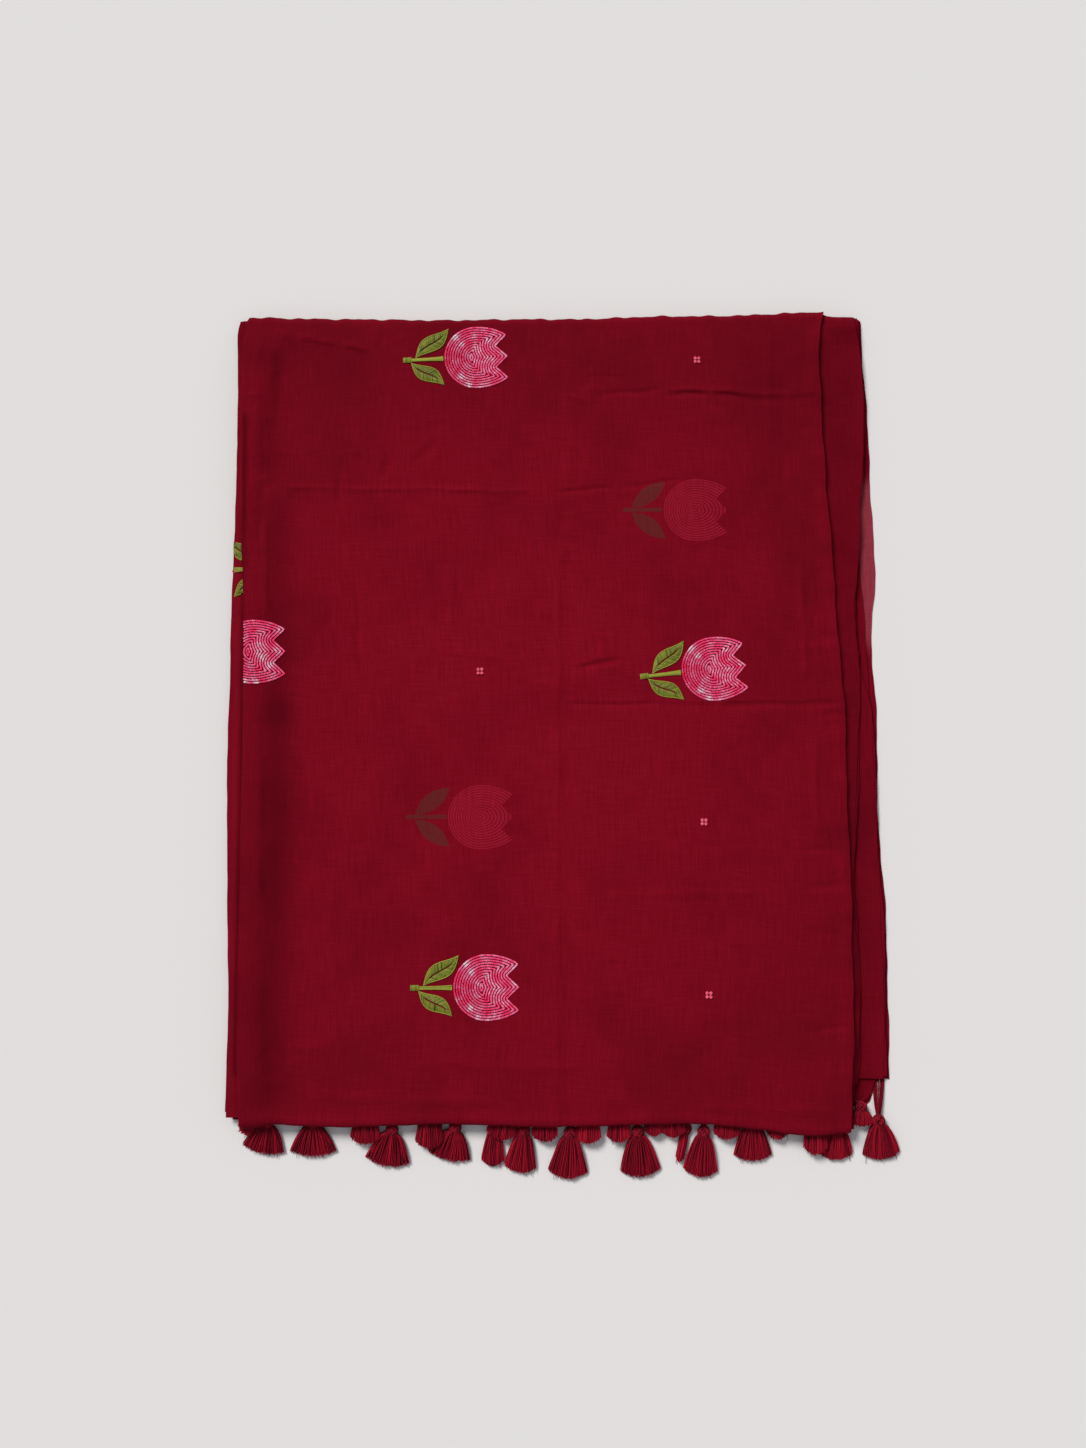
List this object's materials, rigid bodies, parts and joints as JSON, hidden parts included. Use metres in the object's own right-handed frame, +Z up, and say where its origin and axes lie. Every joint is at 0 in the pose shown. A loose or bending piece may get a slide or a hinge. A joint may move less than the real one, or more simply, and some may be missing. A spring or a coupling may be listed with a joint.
{
  "type": "folded sari",
  "caption": "Cotton sari folded flat into a rectangle, with sequin tulips on the cloth and knotted tassels along the pallu end.",
  "frame": {"origin": "middle of the flat underside of the folded cloth, on the surface that it rests on", "axes": "+X across the folded cloth towards the open selvedges, +Y along it away from the tassels, +Z up out of the surface"},
  "size_m": [0.6413, 0.8332, 0.0158],
  "materials": {
    "cloth": "matt slub cotton, deep maroon",
    "tassel_thread": "soft cotton thread, crimson"
  },
  "bodies": {
    "root": {"hidden_stretches": "cloth", "pallu_stretch": "cloth", "tassel_01": "tassel_thread", "tassel_02": "tassel_thread", "tassel_03": "tassel_thread", "tassel_04": "tassel_thread", "tassel_05": "tassel_thread", "tassel_06": "tassel_thread", "tassel_07": "tassel_thread", "tassel_08": "tassel_thread", "tassel_09": "tassel_thread", "tassel_10": "tassel_thread", "tassel_11": "tassel_thread", "tassel_12": "tassel_thread", "tassel_13": "tassel_thread", "tassel_14": "tassel_thread", "tassel_15": "tassel_thread", "tassel_16": "tassel_thread", "tassel_17": "tassel_thread", "tassel_18": "tassel_thread", "tassel_19": "tassel_thread", "tassel_20": "tassel_thread", "tassel_21": "tassel_thread", "tassel_22": "tassel_thread", "tassel_23": "tassel_thread", "tassel_24": "tassel_thread", "tassel_25": "tassel_thread", "tassel_26": "tassel_thread", "top_stretch": "cloth"}
  },
  "joints": []
}
